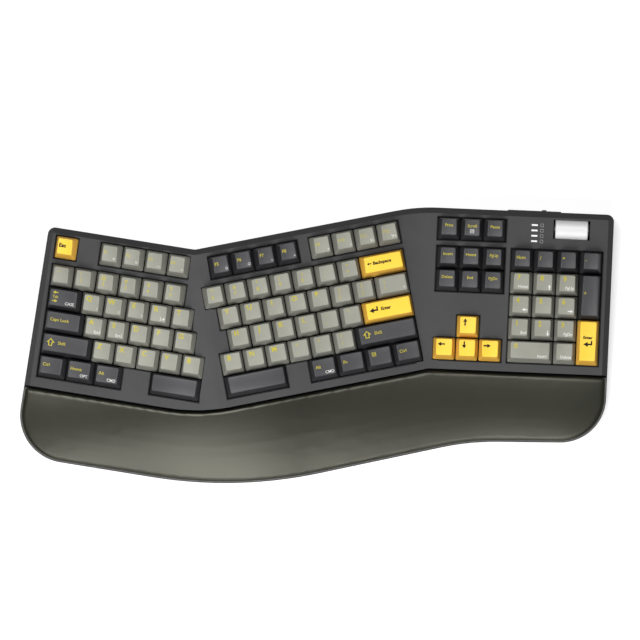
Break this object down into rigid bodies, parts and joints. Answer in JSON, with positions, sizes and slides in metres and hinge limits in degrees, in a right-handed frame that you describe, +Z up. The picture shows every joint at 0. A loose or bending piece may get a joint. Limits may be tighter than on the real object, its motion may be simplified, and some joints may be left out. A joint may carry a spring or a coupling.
{
  "type": "ergonomic keyboard",
  "caption": "Ergonomic keyboard with a split, tented key field, navigation and number pad keys, a roller and a padded palm rest in one curved case.",
  "frame": {"origin": "on the desk, in the middle of the bounding box", "axes": "+X to the typist's right, +Y to the rear of the keyboard, +Z up from the desk"},
  "size_m": [0.4937, 0.229, 0.0552],
  "materials": {
    "key_light": "satin",
    "key_dark": "satin",
    "key_yellow": "satin",
    "deck": "fine matt",
    "tray": "matt",
    "plate": "matt",
    "board": "satin",
    "housing": "satin",
    "screw": "satin",
    "foot": "matt",
    "cushion": "fine grain",
    "roller": "polished",
    "bracket": "satin",
    "battery": "matt",
    "lens": "clear white",
    "socket": "satin",
    "knob": "satin"
  },
  "bodies": {
    "case": {"switch_housings": "housing", "stabilizer_housings": "housing", "top_case": "deck", "switch_plate_left": "plate", "switch_plate_middle": "plate", "switch_plate_right": "plate", "circuit_boards": "board", "bottom_case": "tray", "case_screws": "screw", "rubber_feet": "foot", "palm_rest_base": "tray", "palm_rest_cushion": "cushion", "battery": "battery", "roller_bracket": "bracket", "indicator_lenses": "lens", "usb_socket": "socket"},
    "key_escape": {"key_escape": "key_yellow"},
    "function_keys_left": {"function_keys_left": "key_light"},
    "number_keys_left": {"number_keys_left": "key_light"},
    "key_tab": {"key_tab": "key_dark"},
    "letter_keys_top_left": {"letter_keys_top_left": "key_light"},
    "key_caps_lock": {"key_caps_lock": "key_dark"},
    "letter_keys_home_left": {"letter_keys_home_left": "key_light"},
    "key_shift_left": {"key_shift_left": "key_dark"},
    "letter_keys_low_left": {"letter_keys_low_left": "key_light"},
    "modifier_keys_left": {"modifier_keys_left": "key_dark"},
    "key_space_left": {"key_space_left": "key_dark"},
    "function_keys_middle": {"function_keys_middle": "key_dark"},
    "function_keys_right": {"function_keys_right": "key_light"},
    "number_keys_right": {"number_keys_right": "key_light"},
    "key_backspace": {"key_backspace": "key_yellow"},
    "letter_keys_top_right": {"letter_keys_top_right": "key_light"},
    "key_backslash": {"key_backslash": "key_light"},
    "letter_keys_home_right": {"letter_keys_home_right": "key_light"},
    "key_enter": {"key_enter": "key_yellow"},
    "letter_keys_low_right": {"letter_keys_low_right": "key_light"},
    "key_shift_right": {"key_shift_right": "key_dark"},
    "key_space_right": {"key_space_right": "key_dark"},
    "modifier_keys_right": {"modifier_keys_right": "key_dark"},
    "system_keys": {"system_keys": "key_dark"},
    "edit_keys_upper": {"edit_keys_upper": "key_dark"},
    "edit_keys_lower": {"edit_keys_lower": "key_dark"},
    "key_arrow_up": {"key_arrow_up": "key_yellow"},
    "key_arrow_left": {"key_arrow_left": "key_yellow"},
    "key_arrow_down": {"key_arrow_down": "key_yellow"},
    "key_arrow_right": {"key_arrow_right": "key_yellow"},
    "pad_operator_keys": {"pad_operator_keys": "key_dark"},
    "pad_keys_upper": {"pad_keys_upper": "key_light"},
    "pad_keys_middle": {"pad_keys_middle": "key_light"},
    "pad_keys_lower": {"pad_keys_lower": "key_light"},
    "key_pad_plus": {"key_pad_plus": "key_dark"},
    "key_pad_enter": {"key_pad_enter": "key_yellow"},
    "key_pad_zero": {"key_pad_zero": "key_light"},
    "key_pad_point": {"key_pad_point": "key_light"},
    "roller": {"roller": "roller"},
    "tilt_foot_left": {"tilt_foot_left": "tray"},
    "tilt_foot_right": {"tilt_foot_right": "tray"},
    "mode_switch_knob": {"mode_switch_knob": "knob"}
  },
  "joints": [
    {"name": "key_escape_press", "type": "slide", "parent": "case", "child": "key_escape", "axis": [0.153, 0.0822, -0.9848], "range_m": [0, 0.004], "stiffness_N_per_m": 75, "springref_m": -0.004},
    {"name": "function_keys_left_press", "type": "slide", "parent": "case", "child": "function_keys_left", "axis": [0.153, 0.0822, -0.9848], "range_m": [0, 0.004], "stiffness_N_per_m": 300, "springref_m": -0.004},
    {"name": "number_keys_left_press", "type": "slide", "parent": "case", "child": "number_keys_left", "axis": [0.153, 0.0822, -0.9848], "range_m": [0, 0.004], "stiffness_N_per_m": 450, "springref_m": -0.004},
    {"name": "key_tab_press", "type": "slide", "parent": "case", "child": "key_tab", "axis": [0.153, 0.0822, -0.9848], "range_m": [0, 0.004], "stiffness_N_per_m": 75, "springref_m": -0.004},
    {"name": "letter_keys_top_left_press", "type": "slide", "parent": "case", "child": "letter_keys_top_left", "axis": [0.153, 0.0822, -0.9848], "range_m": [0, 0.004], "stiffness_N_per_m": 375, "springref_m": -0.004},
    {"name": "key_caps_lock_press", "type": "slide", "parent": "case", "child": "key_caps_lock", "axis": [0.153, 0.0822, -0.9848], "range_m": [0, 0.004], "stiffness_N_per_m": 75, "springref_m": -0.004},
    {"name": "letter_keys_home_left_press", "type": "slide", "parent": "case", "child": "letter_keys_home_left", "axis": [0.153, 0.0822, -0.9848], "range_m": [0, 0.004], "stiffness_N_per_m": 375, "springref_m": -0.004},
    {"name": "key_shift_left_press", "type": "slide", "parent": "case", "child": "key_shift_left", "axis": [0.153, 0.0822, -0.9848], "range_m": [0, 0.004], "stiffness_N_per_m": 75, "springref_m": -0.004},
    {"name": "letter_keys_low_left_press", "type": "slide", "parent": "case", "child": "letter_keys_low_left", "axis": [0.153, 0.0822, -0.9848], "range_m": [0, 0.004], "stiffness_N_per_m": 375, "springref_m": -0.004},
    {"name": "modifier_keys_left_press", "type": "slide", "parent": "case", "child": "modifier_keys_left", "axis": [0.153, 0.0822, -0.9848], "range_m": [0, 0.004], "stiffness_N_per_m": 225, "springref_m": -0.004},
    {"name": "key_space_left_press", "type": "slide", "parent": "case", "child": "key_space_left", "axis": [0.153, 0.0822, -0.9848], "range_m": [0, 0.004], "stiffness_N_per_m": 75, "springref_m": -0.004},
    {"name": "function_keys_middle_press", "type": "slide", "parent": "case", "child": "function_keys_middle", "axis": [-0.1135, 0.0599, -0.9917], "range_m": [0, 0.004], "stiffness_N_per_m": 300, "springref_m": -0.004},
    {"name": "function_keys_right_press", "type": "slide", "parent": "case", "child": "function_keys_right", "axis": [-0.1135, 0.0599, -0.9917], "range_m": [0, 0.004], "stiffness_N_per_m": 300, "springref_m": -0.004},
    {"name": "number_keys_right_press", "type": "slide", "parent": "case", "child": "number_keys_right", "axis": [-0.1135, 0.0599, -0.9917], "range_m": [0, 0.004], "stiffness_N_per_m": 525, "springref_m": -0.004},
    {"name": "key_backspace_press", "type": "slide", "parent": "case", "child": "key_backspace", "axis": [-0.1135, 0.0599, -0.9917], "range_m": [0, 0.004], "stiffness_N_per_m": 75, "springref_m": -0.004},
    {"name": "letter_keys_top_right_press", "type": "slide", "parent": "case", "child": "letter_keys_top_right", "axis": [-0.1135, 0.0599, -0.9917], "range_m": [0, 0.004], "stiffness_N_per_m": 525, "springref_m": -0.004},
    {"name": "key_backslash_press", "type": "slide", "parent": "case", "child": "key_backslash", "axis": [-0.1135, 0.0599, -0.9917], "range_m": [0, 0.004], "stiffness_N_per_m": 75, "springref_m": -0.004},
    {"name": "letter_keys_home_right_press", "type": "slide", "parent": "case", "child": "letter_keys_home_right", "axis": [-0.1135, 0.0599, -0.9917], "range_m": [0, 0.004], "stiffness_N_per_m": 450, "springref_m": -0.004},
    {"name": "key_enter_press", "type": "slide", "parent": "case", "child": "key_enter", "axis": [-0.1135, 0.0599, -0.9917], "range_m": [0, 0.004], "stiffness_N_per_m": 75, "springref_m": -0.004},
    {"name": "letter_keys_low_right_press", "type": "slide", "parent": "case", "child": "letter_keys_low_right", "axis": [-0.1135, 0.0599, -0.9917], "range_m": [0, 0.004], "stiffness_N_per_m": 450, "springref_m": -0.004},
    {"name": "key_shift_right_press", "type": "slide", "parent": "case", "child": "key_shift_right", "axis": [-0.1135, 0.0599, -0.9917], "range_m": [0, 0.004], "stiffness_N_per_m": 75, "springref_m": -0.004},
    {"name": "key_space_right_press", "type": "slide", "parent": "case", "child": "key_space_right", "axis": [-0.1135, 0.0599, -0.9917], "range_m": [0, 0.004], "stiffness_N_per_m": 75, "springref_m": -0.004},
    {"name": "modifier_keys_right_press", "type": "slide", "parent": "case", "child": "modifier_keys_right", "axis": [-0.1135, 0.0599, -0.9917], "range_m": [0, 0.004], "stiffness_N_per_m": 300, "springref_m": -0.004},
    {"name": "system_keys_press", "type": "slide", "parent": "case", "child": "system_keys", "axis": [0, 0.07, -0.9975], "range_m": [0, 0.004], "stiffness_N_per_m": 225, "springref_m": -0.004},
    {"name": "edit_keys_upper_press", "type": "slide", "parent": "case", "child": "edit_keys_upper", "axis": [0, 0.07, -0.9975], "range_m": [0, 0.004], "stiffness_N_per_m": 225, "springref_m": -0.004},
    {"name": "edit_keys_lower_press", "type": "slide", "parent": "case", "child": "edit_keys_lower", "axis": [0, 0.07, -0.9975], "range_m": [0, 0.004], "stiffness_N_per_m": 225, "springref_m": -0.004},
    {"name": "key_arrow_up_press", "type": "slide", "parent": "case", "child": "key_arrow_up", "axis": [0, 0.07, -0.9975], "range_m": [0, 0.004], "stiffness_N_per_m": 75, "springref_m": -0.004},
    {"name": "key_arrow_left_press", "type": "slide", "parent": "case", "child": "key_arrow_left", "axis": [0, 0.07, -0.9975], "range_m": [0, 0.004], "stiffness_N_per_m": 75, "springref_m": -0.004},
    {"name": "key_arrow_down_press", "type": "slide", "parent": "case", "child": "key_arrow_down", "axis": [0, 0.07, -0.9975], "range_m": [0, 0.004], "stiffness_N_per_m": 75, "springref_m": -0.004},
    {"name": "key_arrow_right_press", "type": "slide", "parent": "case", "child": "key_arrow_right", "axis": [0, 0.07, -0.9975], "range_m": [0, 0.004], "stiffness_N_per_m": 75, "springref_m": -0.004},
    {"name": "pad_operator_keys_press", "type": "slide", "parent": "case", "child": "pad_operator_keys", "axis": [0, 0.07, -0.9975], "range_m": [0, 0.004], "stiffness_N_per_m": 300, "springref_m": -0.004},
    {"name": "pad_keys_upper_press", "type": "slide", "parent": "case", "child": "pad_keys_upper", "axis": [0, 0.07, -0.9975], "range_m": [0, 0.004], "stiffness_N_per_m": 225, "springref_m": -0.004},
    {"name": "pad_keys_middle_press", "type": "slide", "parent": "case", "child": "pad_keys_middle", "axis": [0, 0.07, -0.9975], "range_m": [0, 0.004], "stiffness_N_per_m": 225, "springref_m": -0.004},
    {"name": "pad_keys_lower_press", "type": "slide", "parent": "case", "child": "pad_keys_lower", "axis": [0, 0.07, -0.9975], "range_m": [0, 0.004], "stiffness_N_per_m": 225, "springref_m": -0.004},
    {"name": "key_pad_plus_press", "type": "slide", "parent": "case", "child": "key_pad_plus", "axis": [0, 0.07, -0.9975], "range_m": [0, 0.004], "stiffness_N_per_m": 75, "springref_m": -0.004},
    {"name": "key_pad_enter_press", "type": "slide", "parent": "case", "child": "key_pad_enter", "axis": [0, 0.07, -0.9975], "range_m": [0, 0.004], "stiffness_N_per_m": 75, "springref_m": -0.004},
    {"name": "key_pad_zero_press", "type": "slide", "parent": "case", "child": "key_pad_zero", "axis": [0, 0.07, -0.9975], "range_m": [0, 0.004], "stiffness_N_per_m": 75, "springref_m": -0.004},
    {"name": "key_pad_point_press", "type": "slide", "parent": "case", "child": "key_pad_point", "axis": [0, 0.07, -0.9975], "range_m": [0, 0.004], "stiffness_N_per_m": 75, "springref_m": -0.004},
    {"name": "roller_turn", "type": "hinge", "parent": "case", "child": "roller", "pos_m": [0.21156, 0.09607, 0.02203], "axis": [0.9991, -0.0419, -0.0029], "continuous": true},
    {"name": "tilt_foot_left_swing", "type": "hinge", "parent": "case", "child": "tilt_foot_left", "pos_m": [-0.14986, 0.07403, 0.004], "axis": [0.9874, -0.1582, 0], "range_deg": [0, 75]},
    {"name": "tilt_foot_right_swing", "type": "hinge", "parent": "case", "child": "tilt_foot_right", "pos_m": [0.1841, 0.09663, 0.004], "axis": [0.9991, -0.0419, 0], "range_deg": [0, 75]},
    {"name": "mode_switch_slide", "type": "slide", "parent": "case", "child": "mode_switch_knob", "axis": [0.9991, -0.0419, 0], "range_m": [0, 0.004]}
  ]
}
